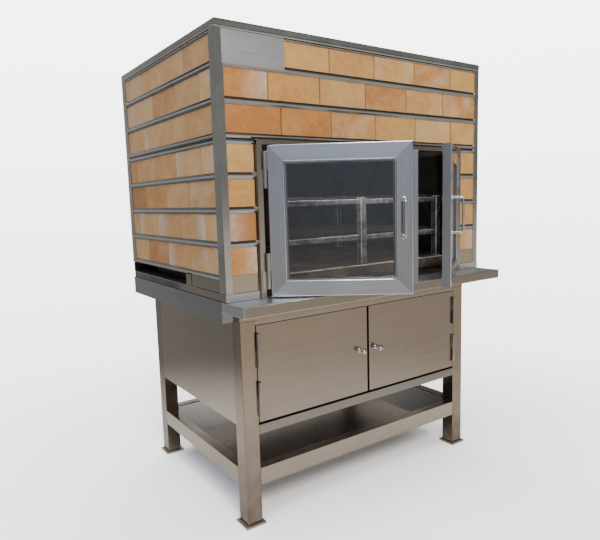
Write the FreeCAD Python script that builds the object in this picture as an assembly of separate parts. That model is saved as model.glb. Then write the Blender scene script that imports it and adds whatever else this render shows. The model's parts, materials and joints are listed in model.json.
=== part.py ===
import FreeCAD, Part
import math
import os
from FreeCAD import Vector

# ------------------------------------------------------------------ dimensions (mm)
BODY_W = 1400.0          # oven body width
BODY_D = 998.0           # oven body depth
BODY_H = 975.0           # oven body height above the counter
COUNTER_Z = 886.0        # counter height above the floor
Y_SHIFT = -318.7         # front face of the body to the middle of the footprint
TRAY_H = 80.0            # depth of the tray under the oven
TRAY_Y = 36.0            # tray front behind the body front
LEDGE_D = 128.0          # front ledge projection
LEDGE_H = 38.0           # front ledge lip height
SHEET = 2.5              # sheet thickness
LEG = 65.0               # square leg
LEG_XL = 56.0            # left legs, outer face
LEG_XR = 1302.0          # right legs, outer face
LEG_YF = 9.0             # front legs, front face
LEG_YB = 879.0           # back legs, back face
FOOT = 87.0              # foot plate side
FOOT_T = 8.0             # foot plate thickness
RAIL_TOP = -661.0        # stretcher top
RAIL_H = 70.0            # stretcher height
RAIL_W = 40.0            # stretcher width
CAB_BOTTOM = -491.0      # underside of the cupboard
BASE_DOOR_Z0 = -478.0    # base door bottom edge
BASE_DOOR_Z1 = -101.0    # base door top edge
BASE_DOOR_T = 22.0       # base door thickness
BASE_DOOR_GAP = 11.0     # gap where the two base doors meet
LOW_RAIL_Z0 = -525.0     # rail under the base doors
LOW_RAIL_Z1 = -488.0
KNOB_R = 12.5            # ball of the base door knobs
BASE_AXIS_X = 126.0      # left base hinge axis
BASE_AXIS_Y = 1.5
POST_F = 29.0            # corner angle, front flange
POST_S = 46.0            # corner angle, side flange
POST_T = 3.0             # corner angle thickness
BRICK_IN = 5.0           # brick face behind the trim face
BRICK_T = 65.0           # brick thickness
BRICK_H = 113.5          # brick height
BRICK_SHOW = 97.5        # brick height left visible between trims
JOINT = 3.0              # gap between brick ends
COURSE_Z = [97.0, 219.0, 341.0, 463.0, 600.0, 722.0, 844.0]
DOOR_X0 = 142.0          # doorway frame, outer face
JAMB_W = 23.0            # doorway jamb width
HEADER_Z0 = 561.0
HEADER_Z1 = 580.0
OVEN_AXIS_X = 170.0      # left oven door hinge axis
OVEN_AXIS_Y = -20.0
DOOR_GAP = 8.5           # hinge axis to door edge
DOOR_W = 520.0
DOOR_T = 36.0
DOOR_Z0 = 6.0
DOOR_Z1 = 558.0
DOOR_RAIL = 59.0         # width of the door frame members
LEFT_OPEN = 37.6         # left oven door angle as shown
RIGHT_OPEN = 36.6        # right oven door angle as shown
KNUCKLE_R = 7.0
PIN_R = 4.0
PIN_CLEAR = 0.05
KNUCKLE_L = 66.0
HEARTH_Z = 78.0
CHAMBER_X0 = 115.0
CHAMBER_X1 = 1285.0
CHAMBER_Y1 = 882.0
CHAMBER_Z1 = 720.0
FLUE_X = 700.0
FLUE_Y = 800.0
FLUE_R = 75.0
FLUE_H = 60.0
TIER_Z = [203.0, 356.0]  # top of the rack rails

os.makedirs("parts", exist_ok=True)
OFFSET = Vector(-BODY_W / 2.0, Y_SHIFT, COUNTER_Z)
BOUNDS = []


def box(x0, y0, z0, x1, y1, z1):
    return Part.makeBox(x1 - x0, y1 - y0, z1 - z0, Vector(x0, y0, z0))


def prism(points, axis, a0, a1):
    """Closed outline in the plane across axis, pushed from a0 to a1."""
    if axis == "x":
        pts = [Vector(a0, p, q) for p, q in points]
        way = Vector(a1 - a0, 0, 0)
    elif axis == "y":
        pts = [Vector(p, a0, q) for p, q in points]
        way = Vector(0, a1 - a0, 0)
    else:
        pts = [Vector(p, q, a0) for p, q in points]
        way = Vector(0, 0, a1 - a0)
    wire = Part.makePolygon(pts + [pts[0]])
    solid = Part.Face(wire).extrude(way)
    if solid.Volume < 0:
        solid.reverse()
    return solid


def cyl(x, y, z, r, h, way=(0, 0, 1)):
    return Part.makeCylinder(r, h, Vector(x, y, z), Vector(*way))


def tube(x0, y0, z0, x1, y1, z1, axis, t):
    """Square tube open at both ends along axis."""
    a = [x0, y0, z0]
    b = [x1, y1, z1]
    for i, name in enumerate("xyz"):
        if name == axis:
            a[i] -= 1.0
            b[i] += 1.0
        else:
            a[i] += t
            b[i] -= t
    return box(x0, y0, z0, x1, y1, z1).cut(box(a[0], a[1], a[2], b[0], b[1], b[2]))


def mirror_x(shape, x=BODY_W / 2.0):
    return shape.mirror(Vector(x, 0, 0), Vector(1, 0, 0))


def turn(shape, x, y, degrees):
    s = shape.copy()
    s.rotate(Vector(x, y, 0), Vector(0, 0, 1), degrees)
    return s


def one(shapes):
    base = shapes[0]
    if len(shapes) > 1:
        base = base.fuse(shapes[1:])
        base = base.removeSplitter()
    return base


def export(name, solids):
    flat = []
    for s in solids:
        flat.extend(s.Solids)
    shape = Part.makeCompound(flat) if len(flat) > 1 else flat[0]
    shape = shape.copy()
    shape.translate(OFFSET)
    BOUNDS.append((name, shape.BoundBox, len(flat)))
    shape.exportStep("parts/%s.step" % name)


# ------------------------------------------------------------------ stand
leg_spots = []
for lx in (LEG_XL, LEG_XR - LEG):
    for ly in (LEG_YF, LEG_YB - LEG):
        leg_spots.append((lx, ly))
over = (FOOT - LEG) / 2.0
export("foot_plates", [box(x - over, y - over, -COUNTER_Z, x + LEG + over, y + LEG + over, -COUNTER_Z + FOOT_T)
                       for x, y in leg_spots])
export("legs", [tube(x, y, -COUNTER_Z + FOOT_T, x + LEG, y + LEG, -TRAY_H, "z", SHEET) for x, y in leg_spots])
rz0 = RAIL_TOP - RAIL_H
in_x0 = LEG_XL + LEG
in_x1 = LEG_XR - LEG
in_y0 = LEG_YF + LEG
in_y1 = LEG_YB - LEG
export("stretchers", [
    tube(in_x0, LEG_YF, rz0, in_x1, LEG_YF + RAIL_W, RAIL_TOP, "x", 2.0),
    tube(in_x0, LEG_YB - RAIL_W, rz0, in_x1, LEG_YB, RAIL_TOP, "x", 2.0),
    tube(LEG_XL, in_y0, rz0, LEG_XL + RAIL_W, in_y1, RAIL_TOP, "y", 2.0),
    tube(LEG_XR - RAIL_W, in_y0, rz0, LEG_XR, in_y1, RAIL_TOP, "y", 2.0)])
sx0, sx1 = LEG_XL + RAIL_W, LEG_XR - RAIL_W
sy0, sy1 = LEG_YF + RAIL_W, LEG_YB - RAIL_W
shelf = prism([(in_x0, sy0), (in_x1, sy0), (in_x1, in_y0), (sx1, in_y0), (sx1, in_y1), (in_x1, in_y1),
               (in_x1, sy1), (in_x0, sy1), (in_x0, in_y1), (sx0, in_y1), (sx0, in_y0), (in_x0, in_y0)],
              "z", RAIL_TOP - 6.0, RAIL_TOP - 4.0)
export("lower_shelf", [shelf])

# ------------------------------------------------------------------ cupboard
export("cabinet_side_panels", [box(LEG_XL + 2, in_y0, CAB_BOTTOM, LEG_XL + 4, in_y1, -TRAY_H),
                               box(LEG_XR - 4, in_y0, CAB_BOTTOM, LEG_XR - 2, in_y1, -TRAY_H)])
export("cabinet_back_panel", [box(in_x0, LEG_YB - 4, CAB_BOTTOM, in_x1, LEG_YB - 2, -TRAY_H)])
fx0, fx1 = LEG_XL + 4, LEG_XR - 4
fy0, fy1 = LEG_YF + 25, LEG_YB - 4
floor = prism([(in_x0, fy0), (in_x1, fy0), (in_x1, in_y0), (fx1, in_y0), (fx1, in_y1), (in_x1, in_y1),
               (in_x1, fy1), (in_x0, fy1), (in_x0, in_y1), (fx0, in_y1), (fx0, in_y0), (in_x0, in_y0)],
              "z", CAB_BOTTOM, CAB_BOTTOM + 2.0)
export("cabinet_floor", [floor])
apron = box(LEG_XL, LEG_YF, -TRAY_H, LEG_XR, TRAY_Y - 1, -LEDGE_H - 3).cut(
    box(LEG_XL + 2, LEG_YF + 2, -TRAY_H - 1, LEG_XR - 2, TRAY_Y, -LEDGE_H - 5))
export("cabinet_front_rails", [
    tube(in_x0, LEG_YF + 1, BASE_DOOR_Z1 + 2, in_x1, LEG_YF + 41, -TRAY_H, "x", 2.0),
    tube(in_x0, LEG_YF + 1, LOW_RAIL_Z0, in_x1, LEG_YF + 24, LOW_RAIL_Z1, "x", 2.0), apron])
mid = (LEG_XL + LEG_XR) / 2.0
export("door_catches", [box(mid - 70, LEG_YF + BASE_DOOR_T + 1, BASE_DOOR_Z1 - 12, mid - 30, LEG_YF + 40, BASE_DOOR_Z1 + 2),
                        box(mid + 30, LEG_YF + BASE_DOOR_T + 1, BASE_DOOR_Z1 - 12, mid + 70, LEG_YF + 40, BASE_DOOR_Z1 + 2)])

# ------------------------------------------------------------------ tray and ledge
tray = box(0, TRAY_Y, -TRAY_H, BODY_W, BODY_D, 0).cut(
    box(SHEET, TRAY_Y + SHEET, -TRAY_H - 1, BODY_W - SHEET, BODY_D - SHEET, -SHEET))
export("base_tray", [tray])
export("tray_bottom", [box(SHEET, TRAY_Y + SHEET, -TRAY_H, BODY_W - SHEET, BODY_D - SHEET, -TRAY_H + 2.0)])
ledge = box(0, -LEDGE_D, -LEDGE_H, BODY_W, TRAY_Y, 0).cut(
    box(SHEET, -LEDGE_D + SHEET, -LEDGE_H - 1, BODY_W - SHEET, TRAY_Y + 1, -SHEET))
export("front_ledge", [ledge])

# ------------------------------------------------------------------ body skeleton
PL = 31.0
export("plinth_strips", [
    box(0, -3, 0, DOOR_X0, 2, PL), box(BODY_W - DOOR_X0, -3, 0, BODY_W, 2, PL),
    box(4, 2, 0, 7, BODY_D - 6, PL - 3), box(BODY_W - 7, 2, 0, BODY_W - 4, BODY_D - 6, PL - 3),
    box(4, BODY_D - 6, 0, BODY_W - 4, BODY_D - 3, PL - 3)])
export("lower_panels", [
    box(POST_F, 1.5, PL, DOOR_X0, 4.5, COURSE_Z[0]), box(BODY_W - DOOR_X0, 1.5, PL, BODY_W - POST_F, 4.5, COURSE_Z[0]),
    box(4, POST_S, PL, 7, 300, 76), box(0, 300, PL, 3, 345, 76),
    box(BODY_W - 7, POST_S, PL, BODY_W - 4, BODY_D - POST_S, 76)])


def angle_post(front, z0):
    y0, y1 = (0.0, POST_S) if front else (BODY_D - POST_S, BODY_D)
    if front:
        pts = [(0, 0), (POST_F, 0), (POST_F, POST_T), (POST_T, POST_T), (POST_T, y1), (0, y1)]
    else:
        pts = [(0, y0), (POST_T, y0), (POST_T, y1 - POST_T), (POST_F, y1 - POST_T), (POST_F, y1), (0, y1)]
    return prism(pts, "z", z0, BODY_H - 30.0)


front_post = angle_post(True, PL)
export("corner_posts", [front_post, mirror_x(front_post), angle_post(False, 76.0), mirror_x(angle_post(False, PL))])

TZ0, TZ1, TT, TW = BODY_H - 30.0, BODY_H, 3.0, 40.0
front_top = prism([(0, TZ0), (TT, TZ0), (TT, TZ1 - TT), (TW, TZ1 - TT), (TW, TZ1), (0, TZ1)], "x", 0, BODY_W)
back_top = prism([(BODY_D, TZ0), (BODY_D, TZ1), (BODY_D - TW, TZ1), (BODY_D - TW, TZ1 - TT),
                  (BODY_D - TT, TZ1 - TT), (BODY_D - TT, TZ0)], "x", 0, BODY_W)
side_top = one([box(0, TT, TZ0, TT, BODY_D - TT, TZ1 - TT),
                box(0, TW, TZ1 - TT, TW, BODY_D - TW, TZ1)])
export("top_frame", [front_top, back_top, side_top, mirror_x(side_top)])
roof = box(TT, TT, BODY_H - 6, BODY_W - TT, BODY_D - TT, BODY_H - TT).cut(cyl(FLUE_X, FLUE_Y, BODY_H - 10, FLUE_R - 1, 20))
export("roof_panel", [roof])
export("back_panel", [box(POST_T, BODY_D - 6, PL - 3, BODY_W - POST_T, BODY_D - POST_T, BODY_H - 6)])

# ------------------------------------------------------------------ brick facing


def cuts_to_spans(start, cuts, end):
    edges = [start] + list(cuts) + [end]
    spans = []
    for i in range(len(edges) - 1):
        a = edges[i] + (JOINT / 2.0 if i > 0 else 0.0)
        b = edges[i + 1] - (JOINT / 2.0 if i < len(edges) - 2 else 0.0)
        spans.append((a, b))
    return spans


B0 = BRICK_IN
B1 = BRICK_IN + BRICK_T
FRONT_CUTS = {6: [258, 493, 728, 963, 1198], 5: [209, 444, 679, 914, 1149], 4: [263, 498, 733, 968, 1203]}
SIDE_CUTS = {6: [279, 514, 742], 5: [149, 384, 622, 857], 4: [275, 510, 748], 3: [162, 398, 634, 871],
             2: [287, 522, 763], 1: [150, 388, 637, 873], 0: [294, 532, 770]}


def brick_z(row):
    z0 = COURSE_Z[row] - (BRICK_H - BRICK_SHOW) / 2.0
    return z0, z0 + BRICK_H


front_bricks = []
for row in (4, 5, 6):
    z0, z1 = brick_z(row)
    spans = cuts_to_spans(B0 + 2, FRONT_CUTS[row], BODY_W - B0 - 2)
    for i, (a, b) in enumerate(spans):
        if i == 0:
            pts = [(a, B0), (b, B0), (b, B1), (a + BRICK_T, B1)]
        elif i == len(spans) - 1:
            pts = [(a, B0), (b, B0), (b - BRICK_T, B1), (a, B1)]
        else:
            pts = [(a, B0), (b, B0), (b, B1), (a, B1)]
        front_bricks.append(prism(pts, "z", z0, z1))
for row in (0, 1, 2, 3):
    z0, z1 = brick_z(row)
    left = prism([(B0 + 2, B0), (DOOR_X0 - 2, B0), (DOOR_X0 - 2, B1), (B0 + 2 + BRICK_T, B1)], "z", z0, z1)
    front_bricks += [left, mirror_x(left)]
export("bricks_front", front_bricks)

left_bricks = []
for row in range(7):
    z0, z1 = brick_z(row)
    for i, (a, b) in enumerate(cuts_to_spans(B0 + 2, SIDE_CUTS[row], BODY_D - 10)):
        if i == 0:
            pts = [(B0, a), (B1, a + BRICK_T), (B1, b), (B0, b)]
        else:
            pts = [(B0, a), (B1, a), (B1, b), (B0, b)]
        left_bricks.append(prism(pts, "z", z0, z1))
export("bricks_left", left_bricks)
export("bricks_right", [mirror_x(b) for b in left_bricks])

# ------------------------------------------------------------------ trim bars


def bar_outline(z0, z1, web):
    c = min(5.0, (z1 - z0) / 3.0)
    m = (z0 + z1) / 2.0
    pts = [(B0, z0), (0.0, z0 + c), (0.0, z1 - c), (B0, z1)]
    if web:
        pts += [(B0, m + 3), (60.0, m + 3), (60.0, m - 3), (B0, m - 3)]
    return pts


def front_bar(x0, x1, z0, z1, web):
    return prism(bar_outline(z0, z1, web), "x", x0, x1)


def left_bar(y0, y1, z0, z1, web):
    return prism(bar_outline(z0, z1, web), "y", y0, y1)


tops = [z + BRICK_SHOW for z in COURSE_Z]
front_trims = [front_bar(POST_F, BODY_W - POST_F, tops[4], COURSE_Z[5], True),
               front_bar(POST_F, BODY_W - POST_F, tops[5], COURSE_Z[6], True),
               front_bar(POST_F, BODY_W - POST_F, 582.0, 600.0, False),
               front_bar(POST_F, BODY_W - POST_F, 935.0, 945.0, False)]
for a, b in ((tops[0], COURSE_Z[1]), (tops[1], COURSE_Z[2]), (tops[2], COURSE_Z[3])):
    bar = front_bar(POST_F, DOOR_X0, a, b, False)
    front_trims += [bar, mirror_x(bar)]
bar = front_bar(POST_F, DOOR_X0, 561.0, 579.0, False)
front_trims += [bar, mirror_x(bar)]
export("trims_front", front_trims)

ty0, ty1 = POST_S, BODY_D - POST_S
left_trims = []
for i in (0, 1, 2, 4, 5):
    left_trims.append(left_bar(ty0, ty1, tops[i], COURSE_Z[i + 1], False))
left_trims.append(left_bar(ty0, ty1, 561.0, 579.0, False))
left_trims.append(left_bar(ty0, ty1, 582.0, 600.0, False))
left_trims.append(left_bar(ty0, ty1, 935.0, 945.0, False))
left_trims.append(left_bar(ty0, ty1, 77.0, 97.0, False))
export("trims_left", left_trims)
export("trims_right", [mirror_x(t) for t in left_trims])

export("blank_plate", [box(26, -1.5, 830, 280, 0, 943)])

# ------------------------------------------------------------------ chamber
ins = [box(72, 72, 80, CHAMBER_X0 - 3, BODY_D - 12, 960)]
ins.append(mirror_x(ins[0]))
ins.append(box(CHAMBER_X0 - 3, CHAMBER_Y1 + 3, 80, CHAMBER_X1 + 3, BODY_D - 12, 960))
ins.append(box(CHAMBER_X0 - 3, 72, 582, CHAMBER_X1 + 3, 112, 960))
col = box(CHAMBER_X0 - 3, 72, 80, DOOR_X0, 112, 582)
ins += [col, mirror_x(col)]
rz = CHAMBER_Z1 + 3
hole = 80.0
ins.append(box(CHAMBER_X0 - 3, 112, rz, FLUE_X - hole, CHAMBER_Y1 + 3, 960))
ins.append(box(FLUE_X + hole, 112, rz, CHAMBER_X1 + 3, CHAMBER_Y1 + 3, 960))
ins.append(box(FLUE_X - hole, 112, rz, FLUE_X + hole, FLUE_Y - hole, 960))
export("insulation", ins)
liner = [box(CHAMBER_X0 - 3, 115, HEARTH_Z, CHAMBER_X0, CHAMBER_Y1, CHAMBER_Z1)]
liner.append(mirror_x(liner[0]))
liner.append(box(CHAMBER_X0 - 3, CHAMBER_Y1, HEARTH_Z, CHAMBER_X1 + 3, CHAMBER_Y1 + 3, CHAMBER_Z1))
liner.append(box(DOOR_X0 + JAMB_W, 112, HEADER_Z1 + 2, BODY_W - DOOR_X0 - JAMB_W, 115, CHAMBER_Z1))
side = box(CHAMBER_X0 - 3, 112, HEARTH_Z, DOOR_X0 + JAMB_W, 115, CHAMBER_Z1)
liner += [side, mirror_x(side)]
export("chamber_liner", liner)
ceiling = box(CHAMBER_X0 - 3, 112, CHAMBER_Z1, CHAMBER_X1 + 3, CHAMBER_Y1 + 3, CHAMBER_Z1 + 3).cut(
    cyl(FLUE_X, FLUE_Y, CHAMBER_Z1 - 5, FLUE_R - 1, 20))
export("chamber_ceiling", [ceiling])

notch = box(DOOR_X0 - 0.5, 20, PL - 5, DOOR_X0 + JAMB_W + 0.5, 112.5, PL + 1)
export("hearth_plate", [box(8, 28, PL - 3, BODY_W - 8, BODY_D - 8, PL).cut([notch, mirror_x(notch)])])
tiles = []
tw = 210.0
for i in range(5):
    x = 170 + i * (tw + 2.5)
    tiles.append(box(x, 28, PL, x + tw, 112, HEARTH_Z))
ZX, ZY = 700.0, 500.0
for y0, y1 in ((114.5, 344.0), (346.5, 498.0)):
    for i in range(5):
        x = 118 + i * 232.5
        tiles.append(box(x, y0, PL, x + 230, y1, HEARTH_Z))
for y0, y1 in ((ZY, 730.0), (732.5, 880.0)):
    for x0, x1 in ((702.0, 932.0), (934.5, 1164.5), (1167.0, 1282.0)):
        tiles.append(box(x0, y0, PL, x1, y1, HEARTH_Z))
export("hearth_tiles", tiles)
GX, GY, GS = 300.0, 575.0, 230.0
deck = box(118, ZY, 70, ZX, 880, HEARTH_Z).cut(box(GX, GY, 60, GX + GS, GY + GS, 90))
deck = one([deck, box(118, ZY, PL, 121, ZY + 3, 70), box(118, 877, PL, 121, 880, 70)])
export("hearth_deck", [deck])
grate = box(GX + 1, GY + 1, 66, GX + GS - 1, GY + GS - 1, HEARTH_Z)
for i in range(7):
    gx = GX + 22 + i * 28.0
    grate = grate.cut(box(gx, GY + 20, 50, gx + 14, GY + GS - 20, 100))
export("fire_grate", [grate])
pan = box(76, 510, PL + 0.5, 690, 870, 62).cut(box(78, 512, PL + 2.5, 688, 868, 70))
export("ash_pan", [one([pan, box(64, 640, 56, 76, 740, 58)])])

flue = cyl(FLUE_X, FLUE_Y, BODY_H, 110, 3)
flue = flue.fuse([cyl(FLUE_X, FLUE_Y, BODY_H + 3, FLUE_R, FLUE_H), cyl(FLUE_X, FLUE_Y, CHAMBER_Z1, FLUE_R - 2, BODY_H - CHAMBER_Z1)])
flue = flue.cut(cyl(FLUE_X, FLUE_Y, CHAMBER_Z1 - 10, FLUE_R - 4, 500)).removeSplitter()
export("flue_collar", [flue])

# ------------------------------------------------------------------ doorway
jamb = tube(DOOR_X0, -12, 0, DOOR_X0 + JAMB_W, 112, HEADER_Z0, "z", 2.0)
export("door_frame", [jamb, mirror_x(jamb), tube(DOOR_X0, -12, HEADER_Z0, BODY_W - DOOR_X0, 112, HEADER_Z1, "x", 2.0)])
STX = 204.0
stop = box(DOOR_X0 + JAMB_W, 20, 2, STX, 26, HEADER_Z0)
export("door_stops", [stop, mirror_x(stop), box(STX, 20, 530, BODY_W - STX, 26, HEADER_Z0),
                      box(STX, 20, 2, BODY_W - STX, 26, 32)])

# ------------------------------------------------------------------ hinges


def fixed_knuckle(x, y, z, leaf):
    body = cyl(x, y, z, KNUCKLE_R, KNUCKLE_L)
    return one([body, cyl(x, y, z + KNUCKLE_L - 1, PIN_R, KNUCKLE_L - 2), leaf])


def moving_knuckle(x, y, z, leaf):
    z = z + KNUCKLE_L + 0.5
    body = one([cyl(x, y, z, KNUCKLE_R, KNUCKLE_L), leaf])
    return body.cut(cyl(x, y, z - 1, PIN_R + PIN_CLEAR, KNUCKLE_L + 2))


OVEN_HINGE_Z = [36.0, 404.0]
AX, AY = OVEN_AXIS_X, OVEN_AXIS_Y
oven_posts = []
for z in OVEN_HINGE_Z:
    leaf = box(AX - 22, AY + 5, z, AX - 1, AY + 8, z + KNUCKLE_L)
    k = fixed_knuckle(AX, AY, z, leaf)
    oven_posts += [k, mirror_x(k)]
export("oven_hinge_posts", oven_posts)

BAX, BAY = BASE_AXIS_X, BASE_AXIS_Y
BASE_HINGE_Z = [-450.0, -262.0]
base_posts = []
for z in BASE_HINGE_Z:
    leaf = box(BAX - 9, BAY + 4.5, z, BAX - 1, BAY + 7.5, z + KNUCKLE_L)
    k = fixed_knuckle(BAX, BAY, z, leaf)
    base_posts += [k, mirror_x(k, mid)]
export("base_hinge_posts", base_posts)

# ------------------------------------------------------------------ oven doors


def mitred(side, s0, s1, z0, z1, y0, y1, f, t):
    def outline(a, e):
        lo, hi = a, f - a
        if side == "hinge":
            return [(s0 + lo, z0 + lo - e), (s0 + hi, z0 + hi - e), (s0 + hi, z1 - hi + e), (s0 + lo, z1 - lo + e)]
        if side == "free":
            return [(s1 - lo, z0 + lo - e), (s1 - lo, z1 - lo + e), (s1 - hi, z1 - hi + e), (s1 - hi, z0 + hi - e)]
        if side == "bottom":
            return [(s0 + lo - e, z0 + lo), (s1 - lo + e, z0 + lo), (s1 - hi + e, z0 + hi), (s0 + hi - e, z0 + hi)]
        return [(s0 + lo - e, z1 - lo), (s0 + hi - e, z1 - hi), (s1 - hi + e, z1 - hi), (s1 - lo + e, z1 - lo)]
    outer = prism(outline(0.0, 0.0), "y", y0, y1)
    inner = prism(outline(t, 1.0), "y", y0 + t, y1 - t)
    return outer.cut(inner)


def strips(s0, s1, z0, z1, y0, y1, w):
    return [box(s0, y0, z0, s1, y1, z0 + w), box(s0, y0, z1 - w, s1, y1, z1),
            box(s0, y0, z0 + w, s0 + w, y1, z1 - w), box(s1 - w, y0, z0 + w, s1, y1, z1 - w)]


s0 = AX + DOOR_GAP
s1 = s0 + DOOR_W
yo = AY
door = {}
door["frame"] = [mitred(n, s0, s1, DOOR_Z0, DOOR_Z1, yo, yo + DOOR_T, DOOR_RAIL, 2.0)
                 for n in ("hinge", "free", "bottom", "top")]
g0, g1 = s0 + DOOR_RAIL, s1 - DOOR_RAIL
h0, h1 = DOOR_Z0 + DOOR_RAIL, DOOR_Z1 - DOOR_RAIL
door["glass"] = [box(g0 + 1, yo + 10, h0 + 1, g1 - 1, yo + 16, h1 - 1)]
door["beads"] = strips(g0, g1, h0, h1, yo + 2, yo + 10, 6.0) + strips(g0, g1, h0, h1, yo + 16, yo + 26, 10.0)
gy0, gy1 = yo + DOOR_T, yo + DOOR_T + 3.5
door["gasket"] = [box(s0 + 12, gy0, DOOR_Z0 + 12, s0 + 22, gy1, DOOR_Z1 - 12),
                  box(s0 + 22, gy0, DOOR_Z0 + 12, s1 - 60, gy1, DOOR_Z0 + 22),
                  box(s0 + 22, gy0, DOOR_Z1 - 22, s1 - 60, gy1, DOOR_Z1 - 12)]
HZ0, HZ1, HR, HP = 217.0, 353.0, 5.0, 47.0
hs = s1 - 33.0
hy = yo - HP + HR
bow = [cyl(hs, yo - 3, HZ0, 9, 3, (0, 1, 0)), cyl(hs, yo - 3, HZ1, 9, 3, (0, 1, 0)),
       cyl(hs, hy, HZ0, HR, HP - HR - 2, (0, 1, 0)), cyl(hs, hy, HZ1, HR, HP - HR - 2, (0, 1, 0)),
       cyl(hs, hy, HZ0, HR, HZ1 - HZ0), Part.makeSphere(HR, Vector(hs, hy, HZ0)), Part.makeSphere(HR, Vector(hs, hy, HZ1))]
handle = bow[0]
for piece in bow[1:]:
    handle = handle.fuse(piece)
door["handle"] = [handle]
door["knuckles"] = [moving_knuckle(AX, AY, z, box(AX + 3, AY - 3, z + KNUCKLE_L + 0.5, s0, AY + 3, z + 2 * KNUCKLE_L + 0.5))
                    for z in OVEN_HINGE_Z]
lip = one([box(s1 - 48, yo + DOOR_T, 36, s1 - 8, yo + DOOR_T + 2, 526),
           box(s1 - 48, yo + DOOR_T + 2, 36, s1 + 24, yo + DOOR_T + 5, 526)])
for name, shapes in door.items():
    export("left_door_" + name, [turn(s, AX, AY, -LEFT_OPEN) for s in shapes])
export("left_door_lip", [turn(lip, AX, AY, -LEFT_OPEN)])
RX = BODY_W - AX
for name, shapes in door.items():
    export("right_door_" + name, [turn(mirror_x(s), RX, AY, RIGHT_OPEN) for s in shapes])

# ------------------------------------------------------------------ base doors
bx0, bx1 = in_x0 + 3, mid - BASE_DOOR_GAP / 2.0
pan_door = box(bx0, LEG_YF, BASE_DOOR_Z0, bx1, LEG_YF + BASE_DOOR_T, BASE_DOOR_Z1).cut(
    box(bx0 + 1.5, LEG_YF + 1.5, BASE_DOOR_Z0 + 1.5, bx1 - 1.5, LEG_YF + BASE_DOOR_T + 1, BASE_DOOR_Z1 - 1.5))
KX, KZ = mid - 47.0, -288.0
knob = cyl(KX, LEG_YF - 4, KZ, 12, 4, (0, 1, 0))
knob = knob.fuse(cyl(KX, LEG_YF - 22, KZ, 6, 20, (0, 1, 0)))
knob = knob.fuse(Part.makeSphere(KNOB_R, Vector(KX, LEG_YF - 27, KZ)))
base_knuckles = [moving_knuckle(BAX, BAY, z, box(BAX + 1, BAY + 4.5, z + KNUCKLE_L + 0.5, BAX + 9, BAY + 7.5, z + 2 * KNUCKLE_L + 0.5))
                 for z in BASE_HINGE_Z]
export("left_base_panel", [pan_door])
export("left_base_knob", [knob])
export("left_base_knuckles", base_knuckles)
export("right_base_panel", [mirror_x(pan_door, mid)])
export("right_base_knob", [mirror_x(knob, mid)])
export("right_base_knuckles", [mirror_x(k, mid) for k in base_knuckles])

# ------------------------------------------------------------------ roasting rack
PX = [227.0, 700.0, 1173.0]
PYF, PYB = 65.0, 815.0
PH = 15.0
rack_posts = [box(x - PH, y - PH, HEARTH_Z, x + PH, y + PH, TIER_Z[1] + 6) for x in PX for y in (PYF, PYB)]
export("rack_posts", rack_posts)
rails = []
for z in TIER_Z:
    for a, b in ((PX[0] + PH, PX[1] - PH), (PX[1] + PH, PX[2] - PH)):
        for y in (PYF, PYB):
            rails.append(box(a, y - 5, z - 22, b, y + 5, z))
    for x in PX:
        rails.append(box(x - 5, PYF + PH, z - 22, x + 5, PYB - PH, z))
export("rack_rails", rails)
grids = []
for z in TIER_Z:
    for a, b in ((PX[0] + 20, PX[1] - 20), (PX[1] + 20, PX[2] - 20)):
        rods = [cyl(a - 12, y, z + 4, 4, b - a + 24, (1, 0, 0)) for y in (PYF + 60, (PYF + PYB) / 2.0, PYB - 60)]
        n = 11
        for i in range(n):
            x = a + 6 + i * (b - a - 12) / (n - 1)
            rods.append(cyl(x, PYF + 22, z + 10, 3, PYB - PYF - 44, (0, 1, 0)))
        grid = rods[0]
        grid = grid.fuse(rods[1:])
        grids.append(grid)
export("rack_grids", grids)

lo = [min(getattr(b, k) for n, b, c in BOUNDS) for k in ("XMin", "YMin", "ZMin")]
hi = [max(getattr(b, k) for n, b, c in BOUNDS) for k in ("XMax", "YMax", "ZMax")]
print("nodes", len(BOUNDS), "solids", sum(c for n, b, c in BOUNDS))
print("low", [round(v, 3) for v in lo], "high", [round(v, 3) for v in hi])
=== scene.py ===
import json
import math
import random

import bmesh
import bpy
from mathutils import Matrix, Vector, noise


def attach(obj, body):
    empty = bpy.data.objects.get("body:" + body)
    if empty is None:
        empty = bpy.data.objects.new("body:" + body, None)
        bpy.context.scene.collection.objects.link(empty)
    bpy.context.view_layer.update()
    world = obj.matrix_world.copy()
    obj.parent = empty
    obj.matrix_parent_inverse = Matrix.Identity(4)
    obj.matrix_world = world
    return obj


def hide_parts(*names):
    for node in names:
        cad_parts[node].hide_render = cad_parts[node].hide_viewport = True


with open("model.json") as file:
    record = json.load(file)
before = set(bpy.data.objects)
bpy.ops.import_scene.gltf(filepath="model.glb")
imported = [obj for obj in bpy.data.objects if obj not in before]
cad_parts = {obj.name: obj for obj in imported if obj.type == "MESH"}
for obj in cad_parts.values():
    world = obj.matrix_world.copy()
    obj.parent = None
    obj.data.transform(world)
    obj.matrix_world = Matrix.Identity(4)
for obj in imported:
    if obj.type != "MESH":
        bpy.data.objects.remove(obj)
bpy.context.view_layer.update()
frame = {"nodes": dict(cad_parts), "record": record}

NODES = frame["nodes"]
RECORD = frame["record"]
BODY_OF = {n: b for b, ns in RECORD["behaviour"]["bodies"].items() for n in ns}

# ------------------------------------------------------------------ frame numbers (metres)
OX, OY, OZ = -0.7, -0.3187, 0.886      # body's front-left corner at counter level
AXIS_X, AXIS_Y = 0.170, -0.020         # left oven hinge axis, from that corner
LEFT_OPEN, RIGHT_OPEN = math.radians(37.6), math.radians(36.6)
BODY_W = 1.4


def P(x, y, z):
    """Millimetres from the body's front-left corner to the row frame."""
    return Vector((x / 1000.0 + OX, y / 1000.0 + OY, z / 1000.0 + OZ))


# ------------------------------------------------------------------ node helpers


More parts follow.
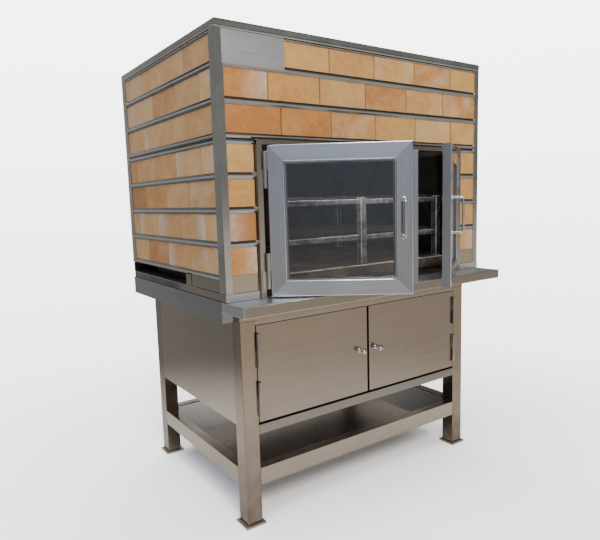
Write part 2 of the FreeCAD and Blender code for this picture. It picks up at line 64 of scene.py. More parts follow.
class Nodes:
    def __init__(self, name):
        self.mat = bpy.data.materials.new(name)
        self.mat.use_nodes = True
        self.t = self.mat.node_tree
        self.t.nodes.clear()
        self.out = self.n("ShaderNodeOutputMaterial")
        self.b = self.n("ShaderNodeBsdfPrincipled")
        self.link(self.b.outputs["BSDF"], self.out.inputs["Surface"])
        self.co = self.n("ShaderNodeTexCoord").outputs["Object"]

    def n(self, kind, **kw):
        node = self.t.nodes.new(kind)
        for k, v in kw.items():
            setattr(node, k, v)
        return node

    def link(self, a, b):
        self.t.links.new(a, b)

    def mapping(self, scale, vec=None, loc=(0, 0, 0)):
        m = self.n("ShaderNodeMapping")
        m.inputs["Scale"].default_value = scale
        m.inputs["Location"].default_value = loc
        self.link(vec if vec is not None else self.co, m.inputs["Vector"])
        return m.outputs["Vector"]

    def noise(self, vec, scale=1.0, detail=4.0, rough=0.55, dist=0.0):
        m = self.n("ShaderNodeTexNoise")
        m.inputs["Scale"].default_value = scale
        m.inputs["Detail"].default_value = detail
        m.inputs["Roughness"].default_value = rough
        m.inputs["Distortion"].default_value = dist
        self.link(vec, m.inputs["Vector"])
        return m.outputs["Fac"]

    def ramp(self, fac, stops, mode="LINEAR"):
        m = self.n("ShaderNodeValToRGB")
        m.color_ramp.interpolation = mode
        e = m.color_ramp.elements
        while len(e) < len(stops):
            e.new(0.5)
        for i, (p, c) in enumerate(stops):
            e[i].position = p
            e[i].color = c if len(c) == 4 else (c[0], c[1], c[2], 1.0)
        self.link(fac, m.inputs["Fac"])
        return m.outputs["Color"]

    def math(self, op, a, b=None, clamp=False):
        m = self.n("ShaderNodeMath", operation=op, use_clamp=clamp)
        for i, v in enumerate((a, b)):
            if v is None:
                continue
            if isinstance(v, (int, float)):
                m.inputs[i].default_value = v
            else:
                self.link(v, m.inputs[i])
        return m.outputs["Value"]

    def span(self, fac, lo, hi, flo=0.0, fhi=1.0):
        m = self.n("ShaderNodeMapRange")
        m.inputs["From Min"].default_value = flo
        m.inputs["From Max"].default_value = fhi
        m.inputs["To Min"].default_value = lo
        m.inputs["To Max"].default_value = hi
        self.link(fac, m.inputs["Value"])
        return m.outputs["Result"]

    def mix(self, fac, a, b, mode="MIX"):
        m = self.n("ShaderNodeMix", data_type="RGBA", blend_type=mode)
        if isinstance(fac, (int, float)):
            m.inputs[0].default_value = fac
        else:
            self.link(fac, m.inputs[0])
        for i, v in ((6, a), (7, b)):
            if isinstance(v, (tuple, list)):
                m.inputs[i].default_value = v if len(v) == 4 else (v[0], v[1], v[2], 1.0)
            else:
                self.link(v, m.inputs[i])
        return m.outputs[2]

    def bump(self, height, strength, distance, normal=None):
        m = self.n("ShaderNodeBump")
        m.inputs["Strength"].default_value = strength
        m.inputs["Distance"].default_value = distance
        self.link(height, m.inputs["Height"])
        if normal is not None:
            self.link(normal, m.inputs["Normal"])
        return m.outputs["Normal"]


def brushed(name, dark, light, rough, grain, wave=0.25, smudge=0.5, relief=0.05, metallic=1.0, low=None, vary=0.035):
    """Brushed sheet: grain is the (x, y, z) frequency per metre, low along the brushing.
    low is (a0, a1, colour, amount, axis): painted shade, a darker colour that is full at a0 and fades out to a1 along
    the axis."""
    k = Nodes(name)
    fine = k.noise(k.mapping(grain), 1.0, 5.0, 0.6)
    coarse = k.noise(k.mapping(tuple(g * 0.17 for g in grain)), 1.0, 3.0, 0.5)
    cloud = k.noise(k.mapping((3.1, 3.1, 2.3)), 1.0, 3.0, 0.5, 0.4)
    spots = k.noise(k.mapping((19, 19, 15)), 1.0, 4.0, 0.6, 0.2)
    lines = k.math("ADD", k.math("MULTIPLY", fine, 0.6), k.math("MULTIPLY", coarse, 0.4))
    tone = k.math("ADD", k.math("MULTIPLY", lines, 0.65), k.math("MULTIPLY", cloud, 0.35))
    col = k.ramp(tone, [(0.30, dark), (0.70, light)])
    # painted shade: blend towards a darker colour along one axis
    if low is not None:
        xyz = k.n("ShaderNodeSeparateXYZ")
        k.link(k.co, xyz.inputs["Vector"])
        shade_fade = k.math("MULTIPLY", k.span(xyz.outputs[low[4]], low[3], 0.0, low[0], low[1]), k.span(spots, 0.55, 1.35, 0.3, 0.7), True)
        col = k.mix(shade_fade, col, low[2])
    k.link(col, k.b.inputs["Base Color"])
    r = k.math("ADD", k.span(lines, rough - vary, rough + vary, 0.3, 0.7),
               k.span(spots, -0.03 * smudge, 0.06 * smudge, 0.35, 0.75))
    k.link(r, k.b.inputs["Roughness"])
    n1 = k.bump(k.noise(k.mapping((2.2, 2.2, 2.2)), 1.0, 2.0, 0.5), wave, 0.004)
    k.link(k.bump(lines, relief, 0.0004, n1), k.b.inputs["Normal"])
    k.b.inputs["Metallic"].default_value = metallic
    return k.mat


def polished(name, dark, light, rough, wave):
    k = Nodes(name)
    cloud = k.noise(k.mapping((9, 9, 9)), 1.0, 4.0, 0.55, 0.3)
    k.link(k.ramp(cloud, [(0.30, dark), (0.70, light)]), k.b.inputs["Base Color"])
    hair = k.noise(k.mapping((60, 60, 60)), 1.0, 5.0, 0.7)
    k.link(k.span(hair, rough, rough + 0.07, 0.3, 0.75), k.b.inputs["Roughness"])
    n1 = k.bump(k.noise(k.mapping((7, 7, 7)), 1.0, 2.0, 0.5), wave, 0.003)
    k.link(k.bump(hair, 0.03, 0.0004, n1), k.b.inputs["Normal"])
    k.b.inputs["Metallic"].default_value = 1.0
    return k.mat


def make_firebrick(name, stops, other, dirt, edge=0.75, hearth=None):
    """Fireclay brick. The vertex layer 'brick' holds tone, pale bloom, a shift for the pattern and edge wear."""
    k = Nodes(name)
    a = k.n("ShaderNodeAttribute", attribute_name="brick")
    sep = k.n("ShaderNodeSeparateColor")
    k.link(a.outputs["Color"], sep.inputs["Color"])
    tone, pale, shift = sep.outputs[0], sep.outputs[1], sep.outputs[2]
    wear = a.outputs["Alpha"]
    add = k.n("ShaderNodeVectorMath", operation="ADD")
    comb = k.n("ShaderNodeCombineXYZ")
    far = k.math("MULTIPLY", shift, 37.0)
    for i in range(3):
        k.link(far, comb.inputs[i])
    k.link(k.co, add.inputs[0])
    k.link(comb.outputs["Vector"], add.inputs[1])
    vec = add.outputs["Vector"]
    blot = k.noise(k.mapping((9, 9, 11), vec), 1.0, 4.0, 0.55, 0.6)
    mott = k.noise(k.mapping((45, 45, 45), vec), 1.0, 5.0, 0.6, 0.2)
    grit = k.noise(k.mapping((320, 320, 320), vec), 1.0, 3.0, 0.6)
    t = k.math("ADD", tone, k.span(blot, -0.24, 0.24, 0.3, 0.7))
    t = k.math("ADD", t, k.span(mott, -0.15, 0.15, 0.3, 0.7), True)
    clay = k.math("ADD", k.math("MULTIPLY", shift, 1.5), k.span(blot, -0.45, -0.05, 0.3, 0.7), True)
    col = k.mix(clay, k.ramp(t, stops), k.ramp(t, other))
    col = k.mix(k.span(grit, 0.0, 0.48, 0.50, 0.78), col, tuple(c * 0.66 for c in stops[0][1][:3]))
    sand = k.noise(k.mapping((190, 190, 190), vec, (5.0, 3.0, 1.0)), 1.0, 2.0, 0.5)
    col = k.mix(k.span(sand, 0.0, 0.28, 0.58, 0.80), col, tuple(min(1.0, c * 1.22 + 0.03) for c in other[-1][1][:3]))
    bloom = k.math("MULTIPLY", pale, k.span(mott, 0.55, 1.25, 0.30, 0.70), True)
    col = k.mix(k.math("MULTIPLY", bloom, 0.85), col, (0.70, 0.58, 0.46))
    # iron specks and small burnt pits
    vor = k.n("ShaderNodeTexVoronoi", feature="F1")
    vor.inputs["Scale"].default_value = 58.0
    vor.inputs["Randomness"].default_value = 1.0
    k.link(vec, vor.inputs["Vector"])
    pit = k.span(vor.outputs["Distance"], 1.0, 0.0, 0.07, 0.16)
    pick = k.math("GREATER_THAN", k.noise(k.mapping((23, 23, 23), vec), 1.0, 1.0), 0.54)
    pit = k.math("MULTIPLY", pit, pick, True)
    col = k.mix(k.math("MULTIPLY", pit, 0.80), col, (0.15, 0.075, 0.04))
    col = k.mix(k.math("MULTIPLY", wear, edge), col, dirt)
    if hearth is not None:
        # soot on the deck; the pale band along the front edge is partly ash and partly a painted highlight
        xyz = k.n("ShaderNodeSeparateXYZ")
        k.link(k.co, xyz.inputs["Vector"])
        deck = k.span(xyz.outputs["Z"], 0.0, 1.0, hearth[1] - 0.006, hearth[1] - 0.002)
        front = k.span(xyz.outputs["Y"], 1.0, 0.0, hearth[0] + 0.003, hearth[0] + 0.007)
        col = k.mix(k.math("MULTIPLY", deck, k.span(blot, 0.95, 0.70, 0.3, 0.7), True), col, (0.022, 0.020, 0.018))
        col = k.mix(k.math("MULTIPLY", k.math("MULTIPLY", deck, front), k.span(mott, 0.35, 1.0, 0.3, 0.6), True), col, (0.62, 0.55, 0.46))
    k.link(col, k.b.inputs["Base Color"])
    k.link(k.span(mott, 0.82, 0.97, 0.3, 0.7), k.b.inputs["Roughness"])
    h = k.math("ADD", k.math("MULTIPLY", mott, 0.6), k.math("MULTIPLY", grit, 0.4))
    h = k.math("SUBTRACT", h, k.math("MULTIPLY", pit, 0.6))
    k.link(k.bump(h, 0.60, 0.0014), k.b.inputs["Normal"])
    k.b.inputs["Specular IOR Level"].default_value = 0.08 if hearth is not None else 0.25
    return k.mat


def make_worn(name, dark, mid, light):
    """Oxidised rack steel with rubbed light patches and dark soot patches, spread by noise."""
    k = Nodes(name)
    a = k.noise(k.mapping((26, 26, 26)), 1.0, 5.0, 0.62, 0.5)
    c = k.noise(k.mapping((110, 110, 110)), 1.0, 4.0, 0.6)
    e = k.noise(k.mapping((7, 7, 7), None, (3.0, 1.0, 2.0)), 1.0, 2.0, 0.5)
    t = k.math("ADD", k.math("MULTIPLY", a, 0.55), k.math("MULTIPLY", c, 0.25))
    t = k.math("ADD", t, k.math("MULTIPLY", e, 0.20))
    k.link(k.ramp(t, [(0.36, dark), (0.48, mid), (0.62, light)]), k.b.inputs["Base Color"])
    k.link(k.span(t, 0.62, 0.34, 0.36, 0.62), k.b.inputs["Roughness"])
    k.link(k.bump(t, 0.35, 0.0009), k.b.inputs["Normal"])
    k.b.inputs["Metallic"].default_value = 0.45
    return k.mat


def make_sooty(name, dark, light, rough):
    k = Nodes(name)
    a = k.noise(k.mapping((5, 5, 5)), 1.0, 6.0, 0.6, 0.5)
    s = k.noise(k.mapping((70, 70, 18)), 1.0, 4.0, 0.6)
    t = k.math("ADD", k.math("MULTIPLY", a, 0.7), k.math("MULTIPLY", s, 0.3))
    k.link(k.ramp(t, [(0.32, dark), (0.68, light)]), k.b.inputs["Base Color"])
    k.link(k.span(t, rough + 0.15, rough - 0.15, 0.3, 0.7), k.b.inputs["Roughness"])
    k.link(k.bump(s, 0.2, 0.0008), k.b.inputs["Normal"])
    k.b.inputs["Metallic"].default_value = 0.7
    return k.mat


def make_glass(name):
    k = Nodes(name)
    film = k.noise(k.mapping((6, 6, 6)), 1.0, 4.0, 0.6, 0.4)
    k.link(k.ramp(film, [(0.3, (0.60, 0.59, 0.60)), (0.7, (0.69, 0.68, 0.69))]), k.b.inputs["Base Color"])
    k.link(k.span(film, 0.0, 0.008, 0.35, 0.75), k.b.inputs["Roughness"])
    k.b.inputs["Transmission Weight"].default_value = 1.0
    k.b.inputs["IOR"].default_value = 1.52
    return k.mat


def make_matte(name, dark, light, rough, freq, bump):
    k = Nodes(name)
    a = k.noise(k.mapping((freq, freq, freq)), 1.0, 5.0, 0.6)
    k.link(k.ramp(a, [(0.3, dark), (0.7, light)]), k.b.inputs["Base Color"])
    k.link(k.span(a, rough - 0.06, rough + 0.06, 0.3, 0.7), k.b.inputs["Roughness"])
    k.link(k.bump(a, bump, 0.001), k.b.inputs["Normal"])
    return k.mat


def make_rope(name):
    k = Nodes(name)
    w = k.n("ShaderNodeTexWave", wave_type="BANDS", bands_direction="DIAGONAL")
    w.inputs["Scale"].default_value = 90.0
    w.inputs["Distortion"].default_value = 1.5
    k.link(k.co, w.inputs["Vector"])
    k.link(k.ramp(w.outputs["Fac"], [(0.2, (0.010, 0.010, 0.010)), (0.8, (0.05, 0.048, 0.045))]), k.b.inputs["Base Color"])
    k.link(k.bump(w.outputs["Fac"], 0.5, 0.001), k.b.inputs["Normal"])
    k.b.inputs["Roughness"].default_value = 0.9
    return k.mat


WARM_D, WARM_L = (0.375, 0.32, 0.265), (0.45, 0.39, 0.33)
COOL_D, COOL_L = (0.44, 0.445, 0.470), (0.54, 0.545, 0.570)
M = {}
M["steel_h"] = brushed("steel_h", (0.375, 0.315, 0.252), (0.455, 0.388, 0.32), 0.25, (5, 260, 260))
M["steel_y"] = brushed("steel_y", (0.36, 0.30, 0.242), (0.44, 0.376, 0.31), 0.23, (260, 5, 260))
M["steel_v"] = brushed("steel_v", (0.40, 0.36, 0.31), (0.50, 0.455, 0.40), 0.22, (260, 260, 5))
# legs: painted shade, darker towards the floor (full at 0.02 m, gone by 0.50 m)
M["leg"] = brushed("leg", (0.340, 0.274, 0.208), (0.415, 0.338, 0.264), 0.18, (240, 240, 5), 0.25, 0.8, 0.05, 1.0, (0.02, 0.50, (0.16, 0.118, 0.085), 0.70, "Z"))
M["sheet_h"] = brushed("sheet_h", WARM_D, WARM_L, 0.20, (4, 200, 200), 0.15)
M["base_door"] = brushed("base_door", (0.330, 0.277, 0.222), (0.388, 0.329, 0.270), 0.20, (4, 180, 180), 0.12, 0.8)
M["panel"] = brushed("panel", (0.495, 0.425, 0.325), (0.565, 0.487, 0.377), 0.19, (5, 160, 160), 0.12, 0.3, 0.02)
# front ledge, one sheet in three copies: top and ends lighter (painted light), front darker (painted shade)
M["ledge_end_painted_light"] = brushed("ledge_end_painted_light", (0.645, 0.665, 0.70), (0.745, 0.77, 0.81), 0.18, (160, 4, 160), 0.1)
M["sheet_y"] = brushed("sheet_y", (0.412, 0.349, 0.288), (0.505, 0.432, 0.360), 0.17, (160, 4, 160), 0.10)
M["ledge_front_painted_shade"] = brushed("ledge_front_painted_shade", (0.293, 0.255, 0.220), (0.352, 0.310, 0.268), 0.20, (4, 200, 200), 0.12)
# light rim for rounded edges: edge wear and a painted highlight
M["edge"] = brushed("edge", (0.62, 0.59, 0.55), (0.80, 0.77, 0.73), 0.14, (70, 70, 70), 0.1)
# light rim for the door frames' rounded edges: edge wear and a painted highlight
M["door_edge_wear_and_highlight"] = brushed("door_edge_wear_and_highlight", (0.74, 0.745, 0.76), (0.88, 0.885, 0.90), 0.13, (70, 70, 70), 0.1)
# cover strips: lighter crown face is a painted highlight, darker flanks are painted shade; front and side walls get
# different copies
M["trim_x_painted_highlight"] = brushed("trim_x_painted_highlight", (0.53, 0.53, 0.52), (0.65, 0.65, 0.64), 0.33, (4, 240, 240), 0.15)
M["trim_y_painted_highlight"] = brushed("trim_y_painted_highlight", (0.66, 0.67, 0.68), (0.82, 0.83, 0.84), 0.30, (240, 4, 240), 0.15)
M["flank_x_painted_shade"] = polished("flank_x_painted_shade", (0.32, 0.31, 0.28), (0.46, 0.45, 0.41), 0.16, 0.2)
M["flank_y_painted_shade"] = polished("flank_y_painted_shade", (0.20, 0.198, 0.19), (0.32, 0.317, 0.305), 0.14, 0.2)
M["tray"] = brushed("tray", (0.36, 0.36, 0.365), (0.45, 0.45, 0.455), 0.16, (160, 4, 160), 0.10)
# tray front: darker, bluer copy of the tray steel, painted shade and reflection
M["tray_front_painted_shade"] = brushed("tray_front_painted_shade", (0.262, 0.272, 0.305), (0.327, 0.340, 0.381), 0.18, (4, 160, 160), 0.10)
M["ledge_top_painted_light"] = brushed("ledge_top_painted_light", (0.865, 0.91, 0.975), (0.915, 0.95, 0.995), 0.29, (1.5, 60, 60), 0.03, 0.3, 0.002, 0.925, None, 0.010)
# side plinth strips: painted shade, darker towards the back
M["plinth_side"] = brushed("plinth_side", (0.412, 0.349, 0.288), (0.505, 0.432, 0.360), 0.17, (160, 4, 160), 0.10, 0.5, 0.05, 1.0,
                            (P(0, 500, 0).y, P(0, 360, 0).y, (0.15, 0.142, 0.128), 0.95, "Y"))
M["plinth"] = brushed("plinth", (0.66, 0.66, 0.64), (0.76, 0.76, 0.74), 0.22, (4, 160, 160), 0.1)
# cabinet floor: lighter colour as painted light, the bounce from the floor beneath
M["under"] = brushed("under", (0.39, 0.365, 0.34), (0.52, 0.49, 0.46), 0.30, (4, 160, 160), 0.1)
# darker copy of the front-rail sheet for the rail under the base doors, painted shade
M["rail_low_painted_shade"] = brushed("rail_low_painted_shade", (0.245, 0.222, 0.192), (0.300, 0.273, 0.238), 0.20, (4, 200, 200), 0.15)
M["jamb"] = brushed("jamb", (0.135, 0.125, 0.112), (0.20, 0.186, 0.168), 0.46, (200, 200, 5), 0.1)
# door stops: dark colour as painted shade inside the opening
M["stop"] = brushed("stop", (0.115, 0.108, 0.10), (0.19, 0.178, 0.165), 0.30, (90, 90, 90), 0.1, 1.0)
M["foot"] = brushed("foot", (0.355, 0.325, 0.285), (0.485, 0.445, 0.395), 0.42, (60, 60, 60), 0.2, 1.0, 0.1, 0.8)
M["bead"] = brushed("bead", (0.26, 0.26, 0.265), (0.36, 0.36, 0.365), 0.20, (90, 90, 90), 0.1)
M["shelf"] = brushed("shelf", (0.30, 0.27, 0.245), (0.37, 0.335, 0.305), 0.05, (200, 4, 200), 0.10, 0.6)
# oven door frames: one steel, lighter on the rails (painted light) and darker on the stiles (painted shade)
M["door_h"] = brushed("door_h", (0.44, 0.445, 0.455), (0.60, 0.605, 0.615), 0.15, (6, 6, 130), 0.1, 0.6, 0.22)
M["door_v"] = brushed("door_v", (0.32, 0.32, 0.325), (0.46, 0.46, 0.465), 0.15, (130, 130, 6), 0.1, 0.6, 0.22)
M["plate"] = brushed("plate", (0.74, 0.735, 0.75), (0.84, 0.835, 0.85), 0.42, (6, 6, 300), 0.05)
M["polish"] = polished("polish", (0.47, 0.465, 0.43), (0.60, 0.595, 0.56), 0.02, 0.2)
M["polish_fine"] = polished("polish_fine", (0.58, 0.575, 0.56), (0.70, 0.695, 0.68), 0.06, 0.1)
# lighter polish for the top frame's rolled lip, a painted highlight
M["lip"] = polished("lip", (0.62, 0.615, 0.58), (0.76, 0.755, 0.72), 0.14, 0.1)
M["hinge"] = polished("hinge", (0.45, 0.42, 0.385), (0.56, 0.525, 0.49), 0.16, 0.1)
M["base_hinge"] = polished("base_hinge", (0.33, 0.288, 0.242), (0.43, 0.378, 0.325), 0.16, 0.1)
M["rack"] = make_worn("rack", (0.075, 0.073, 0.065), (0.17, 0.165, 0.15), (0.40, 0.39, 0.36))
# much darker copy of the rack steel for the right-hand posts, painted shade
M["rack_painted_shade"] = make_worn("rack_painted_shade", (0.030, 0.029, 0.027), (0.062, 0.060, 0.056), (0.16, 0.155, 0.145))
# light copy of the rack steel on rail tops and post edges, a painted highlight
M["rack_painted_highlight"] = make_worn("rack_painted_highlight", (0.40, 0.395, 0.37), (0.66, 0.655, 0.63), (0.86, 0.855, 0.83))
M["sooty"] = make_sooty("sooty", (0.020, 0.019, 0.0175), (0.085, 0.080, 0.074), 0.5)
M["iron"] = make_matte("iron", (0.018, 0.017, 0.016), (0.05, 0.047, 0.044), 0.62, 120, 0.5)
M["wool"] = make_matte("wool", (0.30, 0.28, 0.25), (0.48, 0.46, 0.42), 0.95, 70, 0.6)
# black plastic of the door catches, also the painted shadow line along the plinth strips' lower rounded edges
M["plastic_and_shadow_line"] = make_matte("plastic_and_shadow_line", (0.012, 0.012, 0.012), (0.03, 0.03, 0.03), 0.5, 200, 0.2)
M["glass"] = make_glass("glass")
M["rope"] = make_rope("rope")
M["brick"] = make_firebrick("brick", [
    (0.00, (0.505, 0.200, 0.060)), (0.25, (0.585, 0.263, 0.080)), (0.50, (0.645, 0.327, 0.102)),
    (0.75, (0.685, 0.380, 0.122)), (1.00, (0.72, 0.425, 0.150))], [
    (0.00, (0.50, 0.240, 0.100)), (0.25, (0.585, 0.310, 0.138)), (0.50, (0.65, 0.372, 0.172)),
    (0.75, (0.70, 0.425, 0.205)), (1.00, (0.75, 0.478, 0.245))], (0.27, 0.132, 0.064))
M["hearth"] = make_firebrick("hearth", [
    (0.00, (0.062, 0.043, 0.030)), (0.40, (0.100, 0.069, 0.049)), (0.75, (0.145, 0.102, 0.073)),
    (0.90, (0.175, 0.125, 0.091)), (1.00, (0.21, 0.152, 0.112))], [
    (0.00, (0.07, 0.052, 0.038)), (0.50, (0.13, 0.095, 0.070)), (1.00, (0.24, 0.178, 0.132))], (0.03, 0.022, 0.018), 0.6,
    (P(0, 28, 0).y, P(0, 0, 78).z))

# ------------------------------------------------------------------ mesh helpers


def place(name, mesh, body, nodes, mats):
    o = bpy.data.objects.new(name, mesh)
    bpy.context.scene.collection.objects.link(o)
    for m in mats:
        mesh.materials.append(M[m])
    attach(o, body)
    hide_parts(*nodes)
    return o


def solids_of(node):
    """The node's closed solids, each as (points, triangles), in the order the frame holds them."""
    mesh = NODES[node].data
    mesh.calc_loop_triangles()
    key = {}
    pts = []

    def point(i):
        c = mesh.vertices[i].co
        k = (round(c.x * 2e5), round(c.y * 2e5), round(c.z * 2e5))
        if k not in key:
            key[k] = len(pts)
            pts.append(c.copy())
        return key[k]

    out, tris, open_edges = [], [], set()
    for t in mesh.loop_triangles:
        f = tuple(point(i) for i in t.vertices)
        if len(set(f)) < 3:
            continue
        tris.append(f)
        for e in ((f[0], f[1]), (f[1], f[2]), (f[2], f[0])):
            e = (min(e), max(e))
            if e in open_edges:
                open_edges.remove(e)
            else:
                open_edges.add(e)
        if not open_edges:
            out.append(tris)
            tris = []
    if tris:
        out.append(tris)
    solids = []
    for tris in out:
        used = {}
        for f in tris:
            for i in f:
                used.setdefault(i, len(used))
        order = sorted(used, key=used.get)
        solids.append(([pts[i] for i in order], [tuple(used[i] for i in f) for f in tris]))
    return solids


def solid_bmesh(solid):
    bm = bmesh.new()
    vs = [bm.verts.new(c) for c in solid[0]]
    for f in solid[1]:
        try:
            bm.faces.new([vs[i] for i in f])
        except ValueError:
            pass
    bmesh.ops.dissolve_limit(bm, angle_limit=math.radians(0.6), verts=bm.verts, edges=bm.edges)
    bmesh.ops.recalc_face_normals(bm, faces=bm.faces)
    return bm


def refine(node, width, mats, segments=2, pick=None, angle=28.0, face_pick=None, flush=False, edge=None, corner=None):
    """Copy of a CAD node with rounded edges and its own material.
    edge is the material number of the rounded edges, or picks it by their normal: a lighter rim is edge wear and a
    painted highlight, a black one a painted shadow line; corner(point) tells the outer corner line, which is rounder."""
    whole = bmesh.new()
    scratch = bpy.data.meshes.new("scratch")
    for solid in solids_of(node):
        bm = solid_bmesh(solid)
        rim_wear_and_highlight = set()
        if corner is not None:
            edges = [e for e in bm.edges if corner(e.verts[0].co) and corner(e.verts[1].co) and e.calc_face_angle(0.0) > 0.5]
            bmesh.ops.bevel(bm, geom=edges, offset=0.0034, segments=6, profile=0.5, affect="EDGES", clamp_overlap=True)
        if width > 0:
            edges = [e for e in bm.edges if len(e.link_faces) == 2 and e.calc_face_angle(0.0) > math.radians(angle)]
            if flush:
                edges = [e for e in edges if not any(0.6 < abs(f.normal.z) < 0.8 for f in e.link_faces)]
            made = bmesh.ops.bevel(bm, geom=edges, offset=width, segments=segments, profile=0.5, affect="EDGES", clamp_overlap=True)
            if edge is not None:
                # the rounded edges take the rim material: edge wear and a painted highlight
                rim_wear_and_highlight = set(made["faces"])
        for a in range(3):
            lo, hi = min(c[a] for c in solid[0]), max(c[a] for c in solid[0])
            for w in bm.verts:
                w.co[a] = min(hi, max(lo, w.co[a]))
        i = pick(solid[0]) if pick is not None else 0
        for f in bm.faces:
            rim = edge(f.normal) if callable(edge) else edge
            side = face_pick(f.normal) if face_pick is not None else None
            f.material_index = rim if f in rim_wear_and_highlight else i if side is None else side
            f.smooth = True
        bm.to_mesh(scratch)
        bm.free()
        whole.from_mesh(scratch)
    bpy.data.meshes.remove(scratch)
    mesh = bpy.data.meshes.new(node + "_v")
    whole.to_mesh(mesh)
    whole.free()
    mesh.set_sharp_from_angle(angle=math.radians(38))
    o = place(node + "_v", mesh, BODY_OF[node], [node], mats)
    w = o.modifiers.new("normals", "WEIGHTED_NORMAL")
    w.keep_sharp = True
    return o


def span_of(points, i):
    return max(c[i] for c in points) - min(c[i] for c in points)


def upright(points):
    return 1 if span_of(points, 2) > max(span_of(points, 0), span_of(points, 1)) else 0


def top_faces(normal):
    return 1 if normal.z > 0.25 else 0


def front_faces(normal):
    return 1 if normal.y < -0.7 else 0


def jamb_sides(normal):
    return 2 if abs(normal.x) > 0.7 else None


def end_faces(normal):
    return 1 if abs(normal.x) > 0.7 else 2 if normal.z > 0.7 else 0


# posts right of x 0.3 m take the painted-shade copy
def shaded_posts(points):
    return 1 if min(c.x for c in points) > 0.3 else 0


def lower_half(points):
    return 1 if max(c.z for c in points) < 0.6 else 0


# down-facing rounded edges black, a painted shadow line; the others the light rim (edge wear and a painted highlight)
def shadow_line_rims(normal):
    return 3 if normal.z < -0.2 else 2


def along_y(points):
    return 1 if span_of(points, 1) > span_of(points, 0) else 0


# ------------------------------------------------------------------ bricks
FRONT_SEED, LEFT_SEED = 78023, 19061


def brick_solid(bm, layer, origin, u, v, n, length, height, depth, back0, back1, rng, round_to, tones, clays):
    """One brick: a worn, slightly uneven face in the (u, v) plane, looking along n, with plain sides behind it."""
    seed = rng.random() * 100.0
    tone = min(1.0, max(0.0, rng.gauss(*tones)))
    bloom = rng.random()
    bloom_end = rng.choice((0, 1))
    shift = rng.uniform(*clays)
    grow = rng.choice((0.0, 0.0002, 0.0007))
    lo_u, hi_u = -grow, length + grow

    def stops(total):
        near = [0.0, 0.0008, 0.0019, 0.0034, 0.006]
        inner = max(2, int((total - 0.012) / 0.016))
        mid = [0.006 + (total - 0.012) * i / inner for i in range(1, inner)]
        return near + mid + [total - a for a in reversed(near)]

    us = [lo_u + a for a in stops(hi_u - lo_u)]
    vs = stops(height)
    grid = []
    for a in us:
        row = []
        for b in vs:
            d = min(a - lo_u, hi_u - a, b, height - b)
            q = origin + u * a + v * b
            chip = noise.noise(Vector((q.x * 55 + seed, q.y * 55, q.z * 55)))
            big = noise.noise(Vector((q.x * 17 - seed, q.y * 17, q.z * 17)))
            r = round_to * (1.0 + 0.5 * chip) + max(0.0, big - 0.28) * 0.012
            drop = 0.0
            if d < r:
                drop = r - math.sqrt(max(0.0, r * r - (r - d) ** 2))
            wav = 0.00035 * chip + 0.00050 * big
            co = q + n * (wav - drop)
            vert = bm.verts.new(co)
            end = a - lo_u if bloom_end == 0 else hi_u - a
            pale = 0.0
            if bloom < 0.30:
                pale = max(0.0, 1.0 - end / (0.075 + 0.22 * bloom))
                pale = pale * pale * (3.0 - 2.0 * pale) * (0.80 + 0.45 * big)
            elif bloom < 0.44:
                pale = max(0.0, big + 0.25) * 0.5
            wear = max(0.0, 1.0 - d / 0.0042) * (0.60 + 0.40 * abs(chip))
            vert[layer] = (tone, min(1.0, max(0.0, pale)), shift, min(1.0, wear))
            row.append(vert)
        grid.append(row)
    nu, nv = len(us), len(vs)
    for i in range(nu - 1):
        for j in range(nv - 1):
            bm.faces.new((grid[i][j], grid[i + 1][j], grid[i + 1][j + 1], grid[i][j + 1]))
    ring = [grid[i][0] for i in range(nu)] + [grid[nu - 1][j] for j in range(1, nv)]
    ring += [grid[i][nv - 1] for i in range(nu - 2, -1, -1)] + [grid[0][j] for j in range(nv - 2, 0, -1)]
    back = []
    for w in ring:
        rel = w.co - origin
        a, b = rel.dot(u), rel.dot(v)
        a = min(max(a, 0.0), length)
        t = a / length
        a2 = back0 + (back1 - back0) * t
        q = bm.verts.new(origin + u * a2 + v * min(max(b, 0.0), height) - n * depth)
        q[layer] = (tone, 0.0, shift, 0.3)
        back.append(q)
    m = len(ring)
    for i in range(m):
        bm.faces.new((ring[i], back[i], back[(i + 1) % m], ring[(i + 1) % m]))
    bm.faces.new(back)


